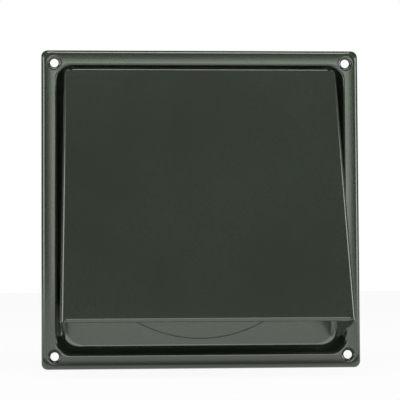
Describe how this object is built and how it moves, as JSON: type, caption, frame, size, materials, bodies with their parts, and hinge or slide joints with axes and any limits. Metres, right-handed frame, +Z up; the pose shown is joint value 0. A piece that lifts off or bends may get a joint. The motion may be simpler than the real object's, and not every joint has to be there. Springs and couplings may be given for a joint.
{
  "type": "range hood wall grille",
  "caption": "Square painted metal wall grille for a hood duct: pressed plate with a sunk pan, sloping rain hood open at the bottom, round spigot and a gravity flap.",
  "frame": {"origin": "where the duct axis meets the wall plane, on which the plate's rim stands", "axes": "+X to the right seen from outside, +Z up, +Y into the wall along the duct; the grille's face looks along -Y"},
  "size_m": [0.19, 0.1039, 0.19],
  "materials": {
    "paint": "satin dark grey-green paint",
    "zinc": "galvanised",
    "rivet": "plain",
    "wire": "drawn wire"
  },
  "bodies": {
    "grille": {"mounting_plate": "paint", "hood": "paint", "hood_rivets": "rivet", "duct_spigot": "zinc", "flap_axle": "wire", "axle_clips": "wire"},
    "flap": {"flap": "paint"}
  },
  "joints": [
    {"name": "flap_hinge", "type": "hinge", "parent": "grille", "child": "flap", "pos_m": [0, 0.0008, 0.0625], "axis": [-1, 0, 0], "range_deg": [0, 22]}
  ]
}
